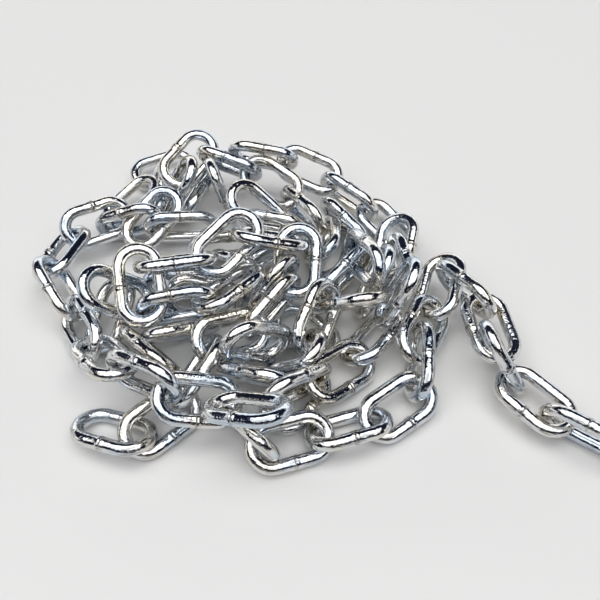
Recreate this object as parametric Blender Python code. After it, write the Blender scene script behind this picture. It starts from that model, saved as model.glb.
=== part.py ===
"""A loose heap of welded steel chain, lying as it was poured out on a level floor.

Every link is its own solid. Each is laid by hand, and then the links are eased apart until
no two wires share any room, each is threaded through its neighbours and none is below the floor.
Lengths are in millimetres until a mesh is made.
"""

import math

import bpy
import numpy as np

# The link: welded chain of 5.5 mm wire
WIRE_RADIUS = 2.75
INSIDE_LENGTH = 25.0
INSIDE_WIDTH = 10.5
BOW_RADIUS = INSIDE_WIDTH / 2 + WIRE_RADIUS
HALF_LIMB = INSIDE_LENGTH / 2 + WIRE_RADIUS - BOW_RADIUS
APEX = HALF_LIMB + BOW_RADIUS

# The mesh of a link
SECTION_SIDES = 8
RINGS_IN_A_BOW = 7
# An octagon with the area of the round wire
SECTION_RADIUS = WIRE_RADIUS * math.sqrt(math.pi / (2 * math.sqrt(2)))

# The samples along a link's middle line that distances are measured between
BOW_SAMPLES = 14
LIMB_SAMPLES = 8
RUNS = 4

# The easing of the laid links, in millimetres and shares of a way, a pass at a time
CLEAR = 6.0  # least distance between the middles of two wires
NEAR = 37.0  # links whose middles lie farther apart than this can't touch
SPREAD = 100.0  # how readily a push turns a link rather than moves it, in square millimetres
# The links were laid as seen from here, so their places are surer across the line of sight than along it
EYE = (0, -206, 246)
ACROSS = 0.25  # how readily a link gives across the line of sight while it is laid, against 1 along it
HOLD = 0.1  # how far a link goes back to its laid place, across the line of sight
HOLD_TURN = 0.07  # the same for its laid angles
HOLD_ALONG = 0.004  # and along the line of sight
SINK = 0.01  # how far a link settles along the line of sight
LAYING_PASSES = 500  # with the links held to their laid places
RESTING_PASSES = 500  # with the links free of them
HOOK_INSET = 3.2  # from a link's tip to the point by which it is drawn to its neighbour
HOOK_PULL = 0.3
HOOK_TURN = 0.04  # how far the faces of two neighbours are opened, in radians
TOO_PARALLEL = 0.6  # the cosine above which they are
UNHOOK_PULL = 0.25  # how fast a link leaves an eye that it doesn't belong in
# Places and axes are rounded after each pass, so that the last digit of a sum can't grow into a shift
CENTRE_DIGITS = 4
FRAME_DIGITS = 6

# Each link: x, y, z of its middle in mm; heading, pitch and roll in degrees.
# Neighbours in a row are threaded through each other.
STRANDS = {
    "front_link": (
        (-73, -71, 5, -22, 8, 11),
        (-54, -70, 9, 48, 10, 27),
        (-41, -51, 14, 53, 34, -50),
        (-28, -34, 17, 25, -10, 40),
        (-12, -21, 20, 47, 18, -83),
        (-1, 2, 24, 86, 21, 3),
        (-13, 9, 30, -170, 21, 32),
        (-31, 7, 30, -135, -18, -28),
        (-53, -5, 30, -176, -3, 40),
        (-68, -13, 28, -90, -48, 0),
        (-50, -23, 20, 9, 16, -80),
        (-30, -14, 26, 39, -14, -37),
    ),
    "outer_link": (
        (-72, 38, 16, 37, 27, 31),
        (-82, 40, 11, 7, 6, 80),
        (-95, 36, 14, 19, -5, 39),
        (-115, 25, 7, 47, 1, -32),
        (-105, -9, 17, 10, -75, 17),
        (-93, -26, 14, -82, 0, 59),
        (-83, -42, 7, -39, 11, -19),
        (-60, -55, 15, -42, 13, -78),
        (-35, -66, 15, 44, -39, 46),
        (-21, -75, 13, -50, 19, -79),
        (-4, -79, 12, 23, -9, 19),
        (19, -72, 6, 23, -3, -24),
        (39, -62, 8, 32, 12, 9),
        (49, -44, 13, 87, 19, -74),
        (51, -31, 16, 62, 3, 31),
        (62, -5, 16, 77, 7, -21),
        (72, -9, 18, -54, 12, -73),
        (80, -27, 14, -75, -9, -17),
        (82, -44, 15, -33, -44, -34),
        (94, -59, 8, -45, -9, -1),
        (108, -75, 11, -33, 3, -74),
    ),
    "peak_link": (
        (-62, 60, 16, 21, 57, -16),
        (-57, 74, 22, 68, 12, 35),
        (-35, 71, 22, -20, 2, -61),
        (-13, 58, 20, -36, -11, 32),
        (2, 37, 20, -56, 11, -81),
    ),
    "back_link": (
        (-21, 71, 26, -8, -6, -62),
        (6, 68, 20, -15, -17, 20),
        (25, 58, 11, -42, 3, -77),
        (43, 41, 6, -49, -12, -3),
    ),
    "middle_link": (
        (-3, -42, 15, 160, -52, 6),
        (8, -24, 16, -107, -8, -58),
        (21, -18, 19, -18, 33, -46),
    ),
    "lower_link": (
        (-2, -60, 20, -140, 20, 74),
        (16, -46, 8, -149, 9, -18),
        (31, -27, 8, -128, -3, 30),
    ),
    "loose_link": (
        (-76, -19, 26, -169, 41, -22),
        (-20, -70, 19, -18, 28, -34),
        (-73, 86, 5, 26, 1, 17),
        (-39, 56, 17, -25, -71, -43),
        (-19, 31, 26, -24, -37, 7),
        (22, 37, 12, -51, -8, -74),
        (29, 6, 20, -67, 16, 84),
        (33, -2, 14, -118, -36, 57),
        (42, -11, 17, -157, -68, 26),
        (-61, -40, 14, -45, 7, -67),
        (-17, -54, 18, 145, -23, 53),
    ),
}
UNTHREADED = ("loose_link",)

# The links hidden inside the heap, laid in the same way: they give way to the others,
# and thin ties join them into one body
HIDDEN_LINKS = (
    (-81, -19, 11, -79, -19, 43),
    (-84, 52, 10, -120, -19, 20),
    (-49, 61, 12, 29, 1, -84),
    (-50, 39, 11, 8, -4, -70),
    (-35, 22, 12, 18, -15, -78),
    (-52, -1, 11, 12, -7, -80),
    (-31, 3, 12, -41, 21, 61),
    (-16, 17, 11, 36, -10, -73),
    (-14, 37, 12, -9, -8, -66),
    (-49, -34, 12, 32, -14, -81),
    (-15, -42, 14, 39, -27, -75),
    (3, -60, 8, 39, -16, 19),
    (13, 26, 12, -106, 6, 61),
    (18, 29, 6, -105, 1, 18),
    (20, 1, 11, 36, -9, -73),
    (47, 10, 11, -68, -2, 77),
    (-15, -9, 16, -150, -30, 75),
    (-42, -11, 13, 0, -15, 60),
    (-70, 60, 12, -90, -15, 60),
    (44, 22, 12, 75, 15, -30),
    (1, -23, 3, 135, 0, 0),
)
# The last of them lies level on the floor
LEVEL_LINK = 20
LEVEL_HEIGHT = SECTION_RADIUS * math.cos(math.pi / SECTION_SIDES) - (SECTION_RADIUS - WIRE_RADIUS)
HIDING_PASSES = 250
HIDDEN_HOLD = 0.01
TIE_RADIUS = 1.5
TIE_SIDES = 6
TIE_CLEAR = 0.5
TIE_STEPS = 9

STEEL = (0.62, 0.63, 0.64, 1)


def frame_of(heading, pitch, roll):
    """A link's axes as columns: along it, across its eye and out of its face."""
    h, p, r = (math.radians(angle) for angle in (heading, pitch, roll))
    along = np.array([math.cos(h) * math.cos(p), math.sin(h) * math.cos(p), math.sin(p)])
    level = np.array([-math.sin(h), math.cos(h), 0.0])
    up = np.cross(along, level)
    across = level * math.cos(r) + up * math.sin(r)
    return np.stack([along, across, np.cross(along, across)], 1)


def sampled_curve():
    """The middle line of the wire: a bow and a limb, then the other bow and limb."""
    points = []
    for side in (1, -1):
        for step in range(BOW_SAMPLES):
            turn = math.radians(-90 + 180 * (step + 0.5) / BOW_SAMPLES)
            out = HALF_LIMB + BOW_RADIUS * math.cos(turn)
            points.append((side * out, side * BOW_RADIUS * math.sin(turn), 0))
        for step in range(LIMB_SAMPLES):
            points.append((side * HALF_LIMB * (1 - 2 * (step + 0.5) / LIMB_SAMPLES), side * BOW_RADIUS, 0))
    return np.array(points)


CURVE = sampled_curve()
RUN_LENGTH = len(CURVE) // RUNS


def in_the_world(centres, frames):
    return centres[:, None, :] + np.einsum("mk,nik->nmi", CURVE, frames)


def nearest_points(points, pairs):
    """For each pair of links and each pair of their runs: the nearest samples and their distance."""
    a, b = points[pairs[:, 0]], points[pairs[:, 1]]
    square = (a**2).sum(-1)[:, :, None] + (b**2).sum(-1)[:, None, :] - 2 * a @ b.transpose(0, 2, 1)
    square = np.round(square, FRAME_DIGITS)
    count = len(pairs)
    blocks = square.reshape(count, RUNS, RUN_LENGTH, RUNS, RUN_LENGTH).transpose(0, 1, 3, 2, 4)
    best = blocks.reshape(count, RUNS * RUNS, RUN_LENGTH * RUN_LENGTH).argmin(-1)
    run = np.arange(RUNS * RUNS)
    i = (run // RUNS) * RUN_LENGTH + best // RUN_LENGTH
    j = (run % RUNS) * RUN_LENGTH + best % RUN_LENGTH
    rows = np.arange(count)[:, None]
    p, q = a[rows, i], b[rows, j]
    return p, q, np.linalg.norm(p - q, axis=-1)


def threading(points, centres, frames, pairs):
    """For each (i, j): whether i passes through j's eye, and the shortest way out of it."""
    i, j = pairs[:, 0], pairs[:, 1]
    local = np.einsum("pmk,pkl->pml", points[i] - centres[j][:, None], frames[j])
    after = np.roll(local, -1, 1)
    crosses = (local[:, :, 2] > 0) != (after[:, :, 2] > 0)
    share = local[:, :, 2] / (local[:, :, 2] - after[:, :, 2] + 1e-12)
    at = local + (after - local) * share[:, :, None]
    over = at[:, :, 0] - np.clip(at[:, :, 0], -HALF_LIMB, HALF_LIMB)
    from_middle = np.hypot(over, at[:, :, 1])
    inside = crosses & (from_middle < BOW_RADIUS)
    count = (np.where(after[:, :, 2] > 0, 1, -1) * inside).sum(1)
    depth = np.where(inside, BOW_RADIUS - from_middle, 1e9)
    best = depth.argmin(1)
    rows = np.arange(len(pairs))
    out = np.stack([over[rows, best], at[rows, best, 1], np.zeros(len(pairs))], 1)
    out /= np.maximum(np.linalg.norm(out, axis=1, keepdims=True), 1e-6)
    way = np.einsum("pkl,pl->pk", frames[j], out)
    place = np.einsum("pkl,pl->pk", frames[j], at[rows, best]) + centres[j]
    return count != 0, depth[rows, best], way, place


def turned(frames, spin):
    moved = frames + np.cross(spin[:, None, :], frames.transpose(0, 2, 1)).transpose(0, 2, 1)
    x = moved[:, :, 0] / np.linalg.norm(moved[:, :, 0], axis=1, keepdims=True)
    z = np.cross(x, moved[:, :, 1])
    z /= np.linalg.norm(z, axis=1, keepdims=True)
    return np.stack([x, np.cross(z, x), z], 2)


def part_along(vectors, sight):
    return (vectors * sight).sum(1, keepdims=True) * sight


class Moves:
    """The pushes on each link in one pass."""

    def __init__(self, centres, sight, across):
        self.centres = centres
        self.sight = sight
        self.across = across
        self.shift = np.zeros_like(centres)
        self.spin = np.zeros_like(centres)
        self.count = np.zeros(len(centres))

    def push(self, who, at, by):
        sight = self.sight[who]
        arm = at - self.centres[who]
        size = np.linalg.norm(by, axis=1, keepdims=True)
        way = by / np.maximum(size, 1e-12)
        move = self.across * way + (1 - self.across) * part_along(way, sight)
        moment = np.cross(arm, way)
        turn = (moment - (1 - self.across) * part_along(moment, sight)) / SPREAD
        give = (move * way).sum(1, keepdims=True) + (turn * moment).sum(1, keepdims=True)
        np.add.at(self.shift, who, move * size / give)
        np.add.at(self.spin, who, turn * size / give)
        np.add.at(self.count, who, 1)

    def done(self, frames):
        scale = (1.0 / np.maximum(self.count, 1) ** 0.5)[:, None]
        centres, frames = self.centres + self.shift * scale, turned(frames, self.spin * scale)
        return np.round(centres, CENTRE_DIGITS), np.round(frames, FRAME_DIGITS)


def hook(moves, frames, i, j, end_i, end_j):
    """Draws the bows of two neighbours together and opens the angle between their faces."""
    p = moves.centres[i] + end_i * (APEX - HOOK_INSET) * frames[i][:, 0]
    q = moves.centres[j] + end_j * (APEX - HOOK_INSET) * frames[j][:, 0]
    by = (q - p) * HOOK_PULL
    moves.push(np.array([i]), p[None], by[None])
    moves.push(np.array([j]), q[None], -by[None])
    facing = frames[i][:, 2] @ frames[j][:, 2]
    if abs(facing) > TOO_PARALLEL:
        axis = np.cross(frames[i][:, 2], frames[j][:, 2]) * np.sign(facing)
        size = np.linalg.norm(axis)
        axis = axis / size if size > 0.05 else frames[i][:, 0]
        moves.spin[i] -= HOOK_TURN * axis
        moves.spin[j] += HOOK_TURN * axis


def nearest_ends(centres, frames, i, j):
    """Which end of each of two neighbours is nearer the other: 1 or -1 along its axis."""
    gaps = []
    for a in (1, -1):
        for b in (1, -1):
            p = centres[i] + a * APEX * frames[i][:, 0]
            q = centres[j] + b * APEX * frames[j][:, 0]
            gaps.append((np.linalg.norm(p - q), a, b))
    return min(gaps)[1:]


def one_pass(centres, frames, sight, across, pairs, threaded, ends):
    points = in_the_world(centres, frames)
    near = np.linalg.norm(centres[pairs[:, 0]] - centres[pairs[:, 1]], axis=1) < NEAR
    near |= threaded
    pairs, threaded = pairs[near], threaded[near]
    through, depth, way, place = threading(points, centres, frames, pairs)
    moves = Moves(centres, sight, across)
    for k in np.nonzero(threaded & ~through)[0]:
        i, j = pairs[k]
        hook(moves, frames, i, j, *ends[(i, j)])
    wrong = np.nonzero(~threaded & through)[0]
    if len(wrong):
        by = way[wrong] * (np.minimum(depth[wrong], CLEAR) + 1.0)[:, None] * UNHOOK_PULL
        moves.push(pairs[wrong, 0], place[wrong], by)
        moves.push(pairs[wrong, 1], place[wrong], -by)
    pairs = pairs[threaded == through]
    p, q, distance = nearest_points(points, pairs)
    k, run = np.nonzero(distance < CLEAR)
    short = (CLEAR - distance[k, run]) / 2
    by = (p - q)[k, run] / distance[k, run][:, None] * short[:, None]
    moves.push(pairs[k, 0], p[k, run], by)
    moves.push(pairs[k, 1], q[k, run], -by)
    lowest = points[:, :, 2].min(1)
    deep = np.nonzero(lowest < WIRE_RADIUS)[0]
    if len(deep):
        by = np.zeros((len(deep), 3))
        by[:, 2] = WIRE_RADIUS - lowest[deep]
        moves.push(deep, points[deep, points[deep, :, 2].argmin(1)], by)
    return moves.done(frames)


def eased(centres, frames, neighbours):
    """The laid links moved as little as it takes to thread, clear and rest them."""
    home, home_frames = centres, frames
    count = len(centres)
    sight = home - np.array(EYE)
    sight /= np.linalg.norm(sight, axis=1, keepdims=True)
    pairs = np.array([(i, j) for i in range(count) for j in range(i + 1, count)])
    threaded = np.array([(i, j) in neighbours for i, j in pairs])
    ends = {(i, j): nearest_ends(centres, frames, i, j) for i, j in neighbours}
    for step in range(LAYING_PASSES + RESTING_PASSES):
        laying = step < LAYING_PASSES
        centres, frames = one_pass(centres, frames, sight, ACROSS if laying else 1.0, pairs, threaded, ends)
        if not laying:
            continue
        away = home - centres
        along = part_along(away, sight)
        centres = centres + HOLD * (away - along) + HOLD_ALONG * along + SINK * sight
        tilt = 0.5 * np.cross(frames.transpose(0, 2, 1), home_frames.transpose(0, 2, 1)).sum(1)
        frames = turned(frames, HOLD_TURN * tilt)
    return centres, frames


def laid_links():
    """Each link's name, and the centres and frames of them all after the easing."""
    names, centres, frames, neighbours = [], [], [], set()
    for strand, rows in STRANDS.items():
        for number, row in enumerate(rows, 1):
            if number > 1 and strand not in UNTHREADED:
                neighbours.add((len(names) - 1, len(names)))
            names.append(f"{strand}_{number:02d}")
            centres.append(row[:3])
            frames.append(frame_of(*row[3:]))
    return names, *eased(np.array(centres, float), np.array(frames), neighbours)


def link_mesh():
    """Vertices and faces of one link about its own middle."""
    rings = []
    for side in (1, -1):
        for step in range(RINGS_IN_A_BOW):
            turn = math.radians(-90 + 180 * step / (RINGS_IN_A_BOW - 1))
            out = np.array([side * math.cos(turn), side * math.sin(turn), 0])
            rings.append((np.array([side * HALF_LIMB, 0, 0]) + BOW_RADIUS * out, out))
    points = []
    for middle, out in rings:
        for side in range(SECTION_SIDES):
            turn = 2 * math.pi * (side + 0.5) / SECTION_SIDES
            offset = math.cos(turn) * out + math.sin(turn) * np.array([0, 0, 1])
            points.append(middle + SECTION_RADIUS * offset)
    faces = []
    for ring in range(len(rings)):
        after = (ring + 1) % len(rings)
        for side in range(SECTION_SIDES):
            beside = (side + 1) % SECTION_SIDES
            a, b = ring * SECTION_SIDES + side, ring * SECTION_SIDES + beside
            c, d = after * SECTION_SIDES + beside, after * SECTION_SIDES + side
            faces.append((a, d, c, b))
    return np.array(points), faces


def add_node(name, points, faces, material):
    mesh = bpy.data.meshes.new(name)
    mesh.from_pydata([tuple(p * 0.001) for p in points], [], faces)
    mesh.materials.append(material)
    mesh.validate()
    obj = bpy.data.objects.new(name, mesh)
    bpy.context.scene.collection.objects.link(obj)
    return obj


def steel():
    material = bpy.data.materials.new("zinc_plated_steel")
    material.use_nodes = True
    shader = material.node_tree.nodes["Principled BSDF"]
    shader.inputs["Base Color"].default_value = STEEL
    shader.inputs["Metallic"].default_value = 1.0
    shader.inputs["Roughness"].default_value = 0.25
    return material


def hidden_links(centres, frames):
    """The centres and frames of the hidden links, eased clear of the laid ones and of each other."""
    laid = len(centres)
    centres = np.vstack([centres, [row[:3] for row in HIDDEN_LINKS]])
    frames = np.concatenate([frames, [frame_of(*row[3:]) for row in HIDDEN_LINKS]])
    home, home_frames = centres, frames
    pairs = np.array([(i, j) for j in range(laid, len(centres)) for i in range(j)])
    for step in range(HIDING_PASSES + RESTING_PASSES):
        centres, frames = hidden_pass(centres, frames, pairs, laid)
        if step < HIDING_PASSES:
            centres = centres + HIDDEN_HOLD * (home - centres)
            tilt = 0.5 * np.cross(frames.transpose(0, 2, 1), home_frames.transpose(0, 2, 1)).sum(1)
            frames = turned(frames, HIDDEN_HOLD * tilt)
        level = laid + LEVEL_LINK
        centres[level, 2] = LEVEL_HEIGHT
        frames[level] = frame_of(math.degrees(math.atan2(frames[level, 1, 0], frames[level, 0, 0])), 0, 0)
    return centres[laid:], frames[laid:]


def hidden_pass(centres, frames, pairs, laid):
    """One pass in which only the hidden links, those from number `laid` on, give way."""
    points = in_the_world(centres, frames)
    near = pairs[np.linalg.norm(centres[pairs[:, 0]] - centres[pairs[:, 1]], axis=1) < NEAR]
    moves = Moves(centres, np.zeros_like(centres), 1.0)
    p, q, distance = nearest_points(points, near)
    k, run = np.nonzero(distance < CLEAR)
    short = CLEAR - distance[k, run]
    by = (q - p)[k, run] / distance[k, run][:, None] * short[:, None]
    both = near[k, 0] >= laid
    moves.push(near[k, 1], q[k, run], by * np.where(both, 0.5, 1.0)[:, None])
    moves.push(near[k[both], 0], p[k[both], run[both]], -by[both] / 2)
    lowest = points[:, :, 2].min(1)
    deep = np.nonzero(lowest < WIRE_RADIUS)[0]
    deep = deep[deep >= laid]
    up = np.zeros((len(deep), 3))
    up[:, 2] = WIRE_RADIUS - lowest[deep]
    moves.push(deep, points[deep, points[deep, :, 2].argmin(1)], up)
    return moves.done(frames)


def ties_between(hidden, laid):
    """The shortest straight ties that make one body of the hidden links, clear of the laid ones."""
    pairs = np.array([(i, j) for i in range(len(hidden)) for j in range(i + 1, len(hidden))])
    p, q, distance = nearest_points(hidden, pairs)
    around = laid.reshape(-1, 3)
    group = list(range(len(hidden)))
    ties = []
    for place in np.argsort(distance, axis=None):
        pair, run = divmod(int(place), distance.shape[1])
        i, j = pairs[pair]
        if group[i] == group[j]:
            continue
        along = p[pair, run] + np.linspace(0, 1, TIE_STEPS)[:, None] * (q[pair, run] - p[pair, run])
        room = np.linalg.norm(along[:, None] - around[None], axis=-1).min()
        if room < SECTION_RADIUS + TIE_RADIUS + TIE_CLEAR:
            continue
        ties.append((p[pair, run], q[pair, run]))
        group = [group[i] if g == group[j] else g for g in group]
    return ties


def tie_mesh(start, end):
    """Vertices and faces of a plain rod."""
    way = (end - start) / np.linalg.norm(end - start)
    side = np.cross(way, (0, 0, 1) if abs(way[2]) < 0.9 else (1, 0, 0))
    side /= np.linalg.norm(side)
    up = np.cross(way, side)
    turns = [2 * math.pi * step / TIE_SIDES for step in range(TIE_SIDES)]
    ring = [TIE_RADIUS * (math.cos(turn) * side + math.sin(turn) * up) for turn in turns]
    points = [start + offset for offset in ring] + [end + offset for offset in ring]
    faces = [tuple(reversed(range(TIE_SIDES))), tuple(range(TIE_SIDES, 2 * TIE_SIDES))]
    for step in range(TIE_SIDES):
        after = (step + 1) % TIE_SIDES
        faces.append((step, after, TIE_SIDES + after, TIE_SIDES + step))
    return np.array(points), faces


def join(core, pieces):
    """Unites the pieces with the core and removes them."""
    group = bpy.data.collections.new("core_pieces")
    for piece in pieces:
        group.objects.link(piece)
    union = core.modifiers.new("union", "BOOLEAN")
    union.operation = "UNION"
    union.operand_type = "COLLECTION"
    union.collection = group
    evaluated = core.evaluated_get(bpy.context.evaluated_depsgraph_get())
    united = bpy.data.meshes.new_from_object(evaluated)
    core.modifiers.clear()
    core.data = united
    united.name = "core"
    for piece in pieces:
        bpy.data.objects.remove(piece)
    bpy.data.collections.remove(group)


def main():
    for obj in list(bpy.data.objects):
        bpy.data.objects.remove(obj)
    material = steel()
    points, faces = link_mesh()
    names, centres, frames = laid_links()
    hidden, hidden_frames = hidden_links(centres, frames)
    everything = np.vstack([(points @ frame.T + centre) for centre, frame in zip(centres, frames)])
    low, high = everything.min(0), everything.max(0)
    shift = np.array([-(low[0] + high[0]) / 2, -(low[1] + high[1]) / 2, SECTION_RADIUS - WIRE_RADIUS])
    for name, centre, frame in zip(names, centres, frames):
        add_node(name, points @ frame.T + centre + shift, faces, material)
    pieces = []
    for number, (centre, frame) in enumerate(zip(hidden, hidden_frames)):
        pieces.append(add_node(f"hidden_{number}", points @ frame.T + centre + shift, faces, material))
    ties = ties_between(in_the_world(hidden, hidden_frames), in_the_world(centres, frames))
    for number, (start, end) in enumerate(ties):
        pieces.append(add_node(f"tie_{number}", *tie_mesh(start + shift, end + shift), material))
    core = pieces.pop(0)
    core.name = "core"
    join(core, pieces)


main()
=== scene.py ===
"""A heap of bright zinc-plated welded steel chain, as it was poured out on a pale floor.

One fine link is modelled and laid in the place of each link of the frame, also of those inside
the heap, which the frame joins into one core. Lengths are in millimetres until a mesh is made.
"""

import math

import bpy
import numpy as np
from mathutils import Matrix, Vector


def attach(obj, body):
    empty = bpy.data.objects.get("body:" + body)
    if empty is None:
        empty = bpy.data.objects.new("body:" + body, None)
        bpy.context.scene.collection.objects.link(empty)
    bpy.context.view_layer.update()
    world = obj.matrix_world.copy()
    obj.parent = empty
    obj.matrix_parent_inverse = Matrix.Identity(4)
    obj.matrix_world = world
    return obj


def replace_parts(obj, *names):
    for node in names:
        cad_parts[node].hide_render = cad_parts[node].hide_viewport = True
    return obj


MM = 0.001

# The link, as the frame has it: inside 25 by 10.5, of 5.5 wire
WIRE_RADIUS = 2.75
BOW_RADIUS = 8.0
HALF_LIMB = 7.25

# The mesh of a link
WIRE_SIDES = 24
BOW_STEPS = 20
LIMB_STEPS = (5.2, 3.4, 2.3)  # places of the plain rings on the welded limb, out from its middle
# The weld bead: place along the limb, and radius against the wire's
WELD_PROFILE = (
    (1.7, 1.01), (1.25, 1.05), (0.8, 1.085), (0.4, 1.09), (0.15, 1.03), (-0.05, 0.98),
    (-0.25, 1.03), (-0.5, 1.085), (-0.85, 1.075), (-1.25, 1.04), (-1.7, 1.01),
)
WELD_REACH = 2.4  # the heat mark fades out this far from the bead's middle
PLAIN_LIMB_STEPS = 6
MERGE = 0.02  # points nearer than this become one
# Links whose weld is on the limb that lies lower or farther back
WELD_BELOW = ("outer_link_04", "peak_link_04", "back_link_02", "back_link_04")

# The camera that took the photograph
EYE = (-1.03, -211.44, 246.05)
LOOKS_DOWN = 50.0
LENS = 41.7
SENSOR = 36.0
FRAME_LIFT = -1 / 600
NEAREST_SEEN, FARTHEST_SEEN = 0.01, 20  # in metres

# How the links in the core are told apart
LIMB_MARGIN = 0.02
PARALLEL = 0.9999
WIDEST_SECTION = 6.0
LEAST_EDGES = 4  # so many of a limb's long edges are whole, also where a tie meets it
PAIR_MARGIN = 0.01  # how far off a link's width its two limbs may lie, as a share of it

# The zinc: colours of its bloom and of its dull streaks, each at the height of the noise that has it
BLOOM = ((0.36, (0.57, 0.64, 0.72)), (0.5, (0.74, 0.75, 0.76)), (0.66, (0.74, 0.71, 0.64)))
STREAKS = ((0.36, (0.62, 0.60, 0.57)), (0.48, (1, 1, 1)))
BURNT = (0.26, 0.23, 0.20, 1)
BURNT_FROM, BURNT_TO = 0.3, 0.6
SMOOTH, DULL = 0.03, 0.15
GLOSS_FROM, GLOSS_TO = 0.35, 0.65
# Patterns on the object are so many to the metre
BLOOM_SCALE, BURN_SCALE, PIT_SCALE = 60, 900, 850
# and those on the wire so many to the millimetre round it, and fewer along it
STREAK_SCALE, GLOSS_SCALE, DRAWN_SCALE = 1.1, 0.5, 1.3
ALONG_THE_WIRE = 0.12
PATTERN_SHIFT = 10  # from one link to the next, so that no two have the same streaks
# Strength, and depth in metres
DRAWN_MARKS = (0.5, 0.00012)
PITS = (0.8, 0.00015)

# Floor and surroundings, in metres
FLOOR_SIZE = 3.6
FLOOR_DROP = 0.0001
FLOOR_COLOUR = (0.78, 0.775, 0.762, 1)
FLOOR_ROUGHNESS = 0.55
NAVY, NAVY_STRENGTH = (0.36, 0.45, 0.9, 1), 0.035
PALE = (0.80, 0.80, 0.80, 1)
WHITE = (1.0, 1.0, 1.0)
PAPER_WHITE = (1.0, 0.99, 0.97)
WALL_WHITE = (1.0, 0.98, 0.95)
LAMP_WARM = (1.0, 0.86, 0.66)
# Each light's name, place, the point it faces, width, height, radiance and colour
LIGHTS = (
    ("overhead", (-0.2, -2.0, 3.0), (-0.2, -2.0, 0), 7.2, 2.9, 1.7, WHITE),
    ("key", (-0.4, 0.2, 3.0), (-0.4, 0.2, 0), 4.6, 1.5, 2.98, WHITE),
    ("back_paper", (0.0, 2.4, 0.62), (0, 0, 0.62), 5.3, 1.16, 1.4, PAPER_WHITE),
    ("left_wall", (-2.4, 0.7, 0.55), (0, 0.7, 0.55), 3.1, 0.8, 1.0, WALL_WHITE),
    ("right_wall", (2.4, 0.7, 0.55), (0, 0.7, 0.55), 3.1, 0.8, 1.0, WALL_WHITE),
    ("front_strip", (0.0, -2.4, 0.55), (0, 0, 0.02), 3.0, 0.09, 1.2, LAMP_WARM),
)


# Shared helpers

def deselect():
    """Nothing stays selected, so that the next operator acts only on what it is meant to."""
    if bpy.context.object and bpy.context.object.mode != "OBJECT":
        bpy.ops.object.mode_set(mode="OBJECT")
    bpy.ops.object.select_all(action="DESELECT")


def metres(point):
    """A point in millimetres as one in metres."""
    return tuple(value * MM for value in point)


def draw_along(step):
    """Draws the selected ring out along the limb."""
    bpy.ops.mesh.extrude_region_move(TRANSFORM_OT_translate={"value": (step * MM, 0, 0)})


# The link

def model_link():
    """One link about the origin: a round section spun round each bow and drawn along each limb."""
    deselect()
    bpy.ops.mesh.primitive_circle_add(
        vertices=WIRE_SIDES,
        radius=WIRE_RADIUS * MM,
        location=metres((HALF_LIMB, -BOW_RADIUS, 0)),
        rotation=(0, math.pi / 2, 0),
    )
    link = bpy.context.object
    link.name = "link_pattern"
    bpy.ops.object.transform_apply(location=True, rotation=True, scale=True)
    bpy.ops.object.mode_set(mode="EDIT")
    bpy.ops.mesh.select_all(action="SELECT")
    bpy.ops.mesh.spin(
        steps=BOW_STEPS, angle=-math.pi, center=metres((HALF_LIMB, 0, 0)), axis=(0, 0, 1)
    )
    draw_welded_limb()
    bpy.ops.mesh.spin(
        steps=BOW_STEPS, angle=-math.pi, center=metres((-HALF_LIMB, 0, 0)), axis=(0, 0, 1)
    )
    for _ in range(PLAIN_LIMB_STEPS):
        draw_along(2 * HALF_LIMB / PLAIN_LIMB_STEPS)
    bpy.ops.mesh.select_all(action="SELECT")
    bpy.ops.mesh.remove_doubles(threshold=MERGE * MM)
    bpy.ops.mesh.normals_make_consistent(inside=False)
    bpy.ops.object.mode_set(mode="OBJECT")
    bpy.ops.object.shade_smooth()
    mark_wire(link.data)
    return link


def draw_welded_limb():
    """The limb with the weld: plain rings, then the bead, then plain rings again."""
    here, size = HALF_LIMB, 1.0
    plain = [(place, 1.0) for place in LIMB_STEPS]
    after = [(-place, 1.0) for place in reversed(LIMB_STEPS)]
    for place, radius in plain + list(WELD_PROFILE) + after + [(-HALF_LIMB, 1.0)]:
        draw_along(place - here)
        if radius != size:
            grow = radius / size
            middle = metres((place, BOW_RADIUS, 0))
            bpy.ops.transform.resize(value=(1, grow, grow), center_override=middle)
        here, size = place, radius


def mark_wire(mesh):
    """Marks each point with the weld's heat, from 0 to 1, and with its place along and round the wire."""
    heat, places = [], []
    for vertex in mesh.vertices:
        x, y, z = vertex.co / MM
        heat.append(max(0.0, 1 - abs(x) / WELD_REACH) if y > 0 else 0.0)
        beyond = abs(x) - HALF_LIMB
        if beyond < 0:
            along, out = x, abs(y) - BOW_RADIUS
        else:
            turn = math.atan2(beyond, abs(y))
            along = math.copysign(HALF_LIMB + BOW_RADIUS * turn, x)
            out = math.hypot(beyond, y) - BOW_RADIUS
        places += [along * ALONG_THE_WIRE, out, z]
    weld_heat = mesh.attributes.new("weld_heat", "FLOAT", "POINT")
    weld_heat.data.foreach_set("value", np.array(heat, np.float32))
    wire_place = mesh.attributes.new("wire_place", "FLOAT_VECTOR", "POINT")
    wire_place.data.foreach_set("vector", np.array(places, np.float32))


# Laying the links

def place_of(node):
    """The middle of a link of the frame, and its directions along, across and out of its face."""
    points = np.array([vertex.co for vertex in node.data.vertices])
    points = np.unique(np.round(points, 5), axis=0)
    middle = points.mean(0)
    _, directions = np.linalg.eigh(np.cov((points - middle).T))
    along, across = directions[:, 2], directions[:, 1]
    if along[0] < 0:
        along = -along
    if across[2] - across[1] < 0:
        across = -across
    return middle, along, across


def turned_place(middle, along, across):
    """The matrix that lays the link pattern with its weld on the side that across points to."""
    face = np.cross(along, across)
    place = Matrix.Identity(4)
    for row in range(3):
        for column, direction in enumerate((along, across, face)):
            place[row][column] = direction[row]
        place[row][3] = middle[row]
    return place


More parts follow.
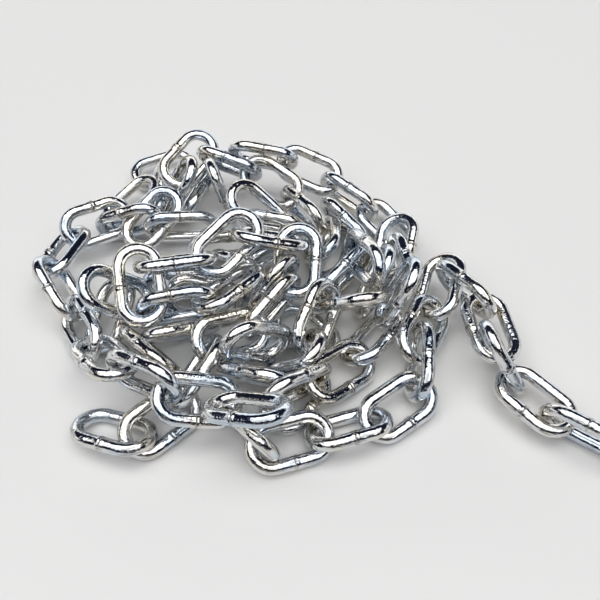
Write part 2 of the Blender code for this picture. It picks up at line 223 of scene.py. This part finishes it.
def lay_link(pattern, name, place):
    """A copy of the link with its own mesh, laid in its place and no lower than the floor."""
    mesh = pattern.data.copy()
    mesh.transform(place)
    lowest = min(vertex.co.z for vertex in mesh.vertices)
    if lowest < 0:
        mesh.transform(Matrix.Translation((0, 0, -lowest)))
    shift_pattern(mesh)
    link = bpy.data.objects.new(name, mesh)
    bpy.context.scene.collection.objects.link(link)
    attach(link, "root")
    return link


def shift_pattern(mesh):
    """Starts the streaks of each link at another place."""
    marks = mesh.attributes["wire_place"].data
    places = np.empty(3 * len(marks), np.float32)
    marks.foreach_get("vector", places)
    marks.foreach_set("vector", places + PATTERN_SHIFT * len(bpy.data.meshes))


def lay_frame_links(pattern, nodes):
    """A fine link in the place of each link that has a node of its own."""
    for name in sorted(nodes):
        if name == "core":
            continue
        middle, along, across = place_of(nodes[name])
        if name in WELD_BELOW:
            across = -across
        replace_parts(lay_link(pattern, name + "_fine", turned_place(middle, along, across)), name)


def edges_as_long_as_a_limb(node):
    """The middle and direction of each edge of the node that is as long as a link's limb."""
    points = np.array([vertex.co for vertex in node.data.vertices]) / MM
    found = {}
    for polygon in node.data.polygons:
        corners = points[list(polygon.vertices)]
        for start, end in zip(corners, np.roll(corners, -1, 0)):
            length = np.linalg.norm(end - start)
            if abs(length - 2 * HALF_LIMB) < LIMB_MARGIN:
                middle = (start + end) / 2
                found[tuple(np.round(middle, 1))] = (middle, (end - start) / length)
    return list(found.values())


def limbs_of(node):
    """The middle and direction of each limb in the node, from the edges that run round it."""
    edges = edges_as_long_as_a_limb(node)
    limbs = []
    while edges:
        start, along = edges[0]
        beside, others = [], []
        for edge in edges:
            near = np.linalg.norm(edge[0] - start) < WIDEST_SECTION
            (beside if near and abs(edge[1] @ along) > PARALLEL else others).append(edge)
        edges = others
        if len(beside) >= LEAST_EDGES:
            middles = np.array([edge[0] for edge in beside])
            limbs.append((middle_of_ring(middles, along), along))
    return limbs


def middle_of_ring(points, along):
    """The middle of a circle that lies square to a direction, from some of its points."""
    side = np.cross(along, (1, 0, 0) if abs(along[0]) < 0.9 else (0, 1, 0))
    side /= np.linalg.norm(side)
    up = np.cross(along, side)
    start = points[0]
    flat = np.stack([(points - start) @ side, (points - start) @ up, np.full(len(points), 0.5)], 1)
    across, rise, _ = np.linalg.lstsq(2 * flat, (flat[:, :2] ** 2).sum(1), rcond=None)[0]
    return start + across * side + rise * up


def lay_inner_links(pattern, core):
    """The links that the frame joins into its core, each found by its two limbs."""
    limbs = limbs_of(core)
    laid = []
    for number, (middle, along) in enumerate(limbs):
        for other, other_along in limbs[number + 1 :]:
            across = (other - middle) / (2 * BOW_RADIUS)
            a_width_apart = abs(np.linalg.norm(across) - 1) <= PAIR_MARGIN
            if a_width_apart and abs(other_along @ along) > PARALLEL:
                place = turned_place((middle + other) / 2 * MM, along, across)
                laid.append(lay_link(pattern, f"inner_link_{len(laid) + 1:02d}", place))
    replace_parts(laid[0], "core")


# Materials

def zinc():
    """Bright zinc, like a mirror, with a faint blue and straw bloom, streaks and burnt welds."""
    material = bpy.data.materials.new("bright_zinc")
    material.use_nodes = True
    nodes, links = material.node_tree.nodes, material.node_tree.links
    shader = nodes["Principled BSDF"]
    shader.inputs["Metallic"].default_value = 1.0
    place = nodes.new("ShaderNodeTexCoord").outputs["Object"]
    wire = attribute(nodes, "wire_place").outputs["Vector"]

    bloom = ramp(nodes, links, noise(nodes, links, place, BLOOM_SCALE, 2.0), BLOOM)
    streaks = ramp(nodes, links, noise(nodes, links, wire, STREAK_SCALE, 3.0), STREAKS)
    plated = mix(nodes, links, bloom, streaks, 1.0, "MULTIPLY")
    colour = mix(nodes, links, plated, BURNT, weld_mark(nodes, links, place), "MIX")
    links.new(colour, shader.inputs["Base Color"])

    rough = nodes.new("ShaderNodeMapRange")
    rough.inputs["From Min"].default_value = GLOSS_FROM
    rough.inputs["From Max"].default_value = GLOSS_TO
    rough.inputs["To Min"].default_value = SMOOTH
    rough.inputs["To Max"].default_value = DULL
    links.new(noise(nodes, links, wire, GLOSS_SCALE, 3.0), rough.inputs["Value"])
    links.new(rough.outputs["Result"], shader.inputs["Roughness"])

    drawn = bump(nodes, links, noise(nodes, links, wire, DRAWN_SCALE, 2.0), DRAWN_MARKS, None)
    pitted = bump(nodes, links, noise(nodes, links, place, PIT_SCALE, 2.0), PITS, drawn)
    links.new(pitted, shader.inputs["Normal"])
    return material


def weld_mark(nodes, links, place):
    """How burnt the zinc is: patchy at the weld, and not at all away from it."""
    burnt = nodes.new("ShaderNodeMath")
    burnt.operation = "MULTIPLY"
    links.new(attribute(nodes, "weld_heat").outputs["Fac"], burnt.inputs[0])
    links.new(noise(nodes, links, place, BURN_SCALE, 2.0), burnt.inputs[1])
    mark = nodes.new("ShaderNodeMapRange")
    mark.inputs["From Min"].default_value = BURNT_FROM
    mark.inputs["From Max"].default_value = BURNT_TO
    links.new(burnt.outputs["Value"], mark.inputs["Value"])
    return mark.outputs["Result"]


def attribute(nodes, name):
    node = nodes.new("ShaderNodeAttribute")
    node.attribute_name = name
    return node


def ramp(nodes, links, factor, stops):
    """A colour for each height of a noise."""
    node = nodes.new("ShaderNodeValToRGB")
    elements = node.color_ramp.elements
    while len(elements) < len(stops):
        elements.new(0.5)
    for element, (position, colour) in zip(elements, stops):
        element.position, element.color = position, (*colour, 1)
    links.new(factor, node.inputs["Fac"])
    return node.outputs["Color"]


def mix(nodes, links, first, second, factor, blend):
    """The second colour over the first."""
    node = nodes.new("ShaderNodeMix")
    node.data_type, node.blend_type = "RGBA", blend
    for socket, value in ((node.inputs[0], factor), (node.inputs[6], first), (node.inputs[7], second)):
        if isinstance(value, bpy.types.NodeSocket):
            links.new(value, socket)
        else:
            socket.default_value = value
    return node.outputs[2]


def noise(nodes, links, place, scale, detail):
    texture = nodes.new("ShaderNodeTexNoise")
    texture.inputs["Scale"].default_value = scale
    texture.inputs["Detail"].default_value = detail
    links.new(place, texture.inputs["Vector"])
    return texture.outputs["Fac"]


def bump(nodes, links, height, relief, under):
    """Relief of a strength and depth, over the relief under it."""
    node = nodes.new("ShaderNodeBump")
    node.inputs["Strength"].default_value, node.inputs["Distance"].default_value = relief
    links.new(height, node.inputs["Height"])
    if under is not None:
        links.new(under, node.inputs["Normal"])
    return node.outputs["Normal"]


# Camera, floor and light

def set_camera():
    data = bpy.data.cameras.new("camera")
    camera = bpy.data.objects.new("camera", data)
    bpy.context.scene.collection.objects.link(camera)
    data.lens, data.sensor_width = LENS, SENSOR
    data.shift_y = FRAME_LIFT
    data.clip_start, data.clip_end = NEAREST_SEEN, FARTHEST_SEEN
    camera.location = metres(EYE)
    camera.rotation_euler = (math.radians(90 - LOOKS_DOWN), 0, 0)
    bpy.context.scene.camera = camera


def set_floor():
    deselect()
    bpy.ops.mesh.primitive_plane_add(size=FLOOR_SIZE, location=(0, 0, -FLOOR_DROP))
    floor = bpy.context.object
    floor.name = "floor"
    material = bpy.data.materials.new("pale_floor")
    material.use_nodes = True
    shader = material.node_tree.nodes["Principled BSDF"]
    shader.inputs["Base Color"].default_value = FLOOR_COLOUR
    shader.inputs["Roughness"].default_value = FLOOR_ROUGHNESS
    floor.data.materials.append(material)


def set_surroundings():
    """Dark navy in the zinc's reflections, and a pale background behind the floor's edge."""
    world = bpy.data.worlds.new("studio")
    world.use_nodes = True
    nodes, links = world.node_tree.nodes, world.node_tree.links
    navy = nodes["Background"]
    navy.inputs["Color"].default_value = NAVY
    navy.inputs["Strength"].default_value = NAVY_STRENGTH
    pale = nodes.new("ShaderNodeBackground")
    pale.inputs["Color"].default_value = PALE
    seen = nodes.new("ShaderNodeLightPath").outputs["Is Camera Ray"]
    both = nodes.new("ShaderNodeMixShader")
    links.new(seen, both.inputs["Fac"])
    links.new(navy.outputs["Background"], both.inputs[1])
    links.new(pale.outputs["Background"], both.inputs[2])
    links.new(both.outputs["Shader"], nodes["World Output"].inputs["Surface"])
    bpy.context.scene.world = world


def set_lights():
    """A wide white ceiling, white paper low behind and at the sides, and a thin lamp in front."""
    for name, place, faces, width, height, radiance, colour in LIGHTS:
        data = bpy.data.lights.new(name, "AREA")
        data.shape = "RECTANGLE"
        data.size, data.size_y = width, height
        data.energy = radiance * math.pi * width * height
        data.color = colour
        light = bpy.data.objects.new(name, data)
        bpy.context.scene.collection.objects.link(light)
        light.location = place
        facing = Vector(faces) - Vector(place)
        light.rotation_euler = facing.to_track_quat("-Z", "Y").to_euler()
    bpy.context.scene.view_settings.view_transform = "Standard"


# The scene

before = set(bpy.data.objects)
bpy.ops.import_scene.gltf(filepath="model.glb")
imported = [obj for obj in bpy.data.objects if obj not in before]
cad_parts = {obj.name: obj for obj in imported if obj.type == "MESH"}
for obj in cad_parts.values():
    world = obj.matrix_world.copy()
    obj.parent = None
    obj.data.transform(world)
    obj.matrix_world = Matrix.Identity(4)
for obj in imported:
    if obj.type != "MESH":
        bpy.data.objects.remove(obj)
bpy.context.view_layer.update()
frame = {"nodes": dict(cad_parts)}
set_camera()
set_floor()
set_surroundings()
set_lights()
link_pattern = model_link()
link_pattern.data.materials.append(zinc())
lay_frame_links(link_pattern, frame["nodes"])
lay_inner_links(link_pattern, frame["nodes"]["core"])
bpy.data.objects.remove(link_pattern)
bpy.context.view_layer.update()
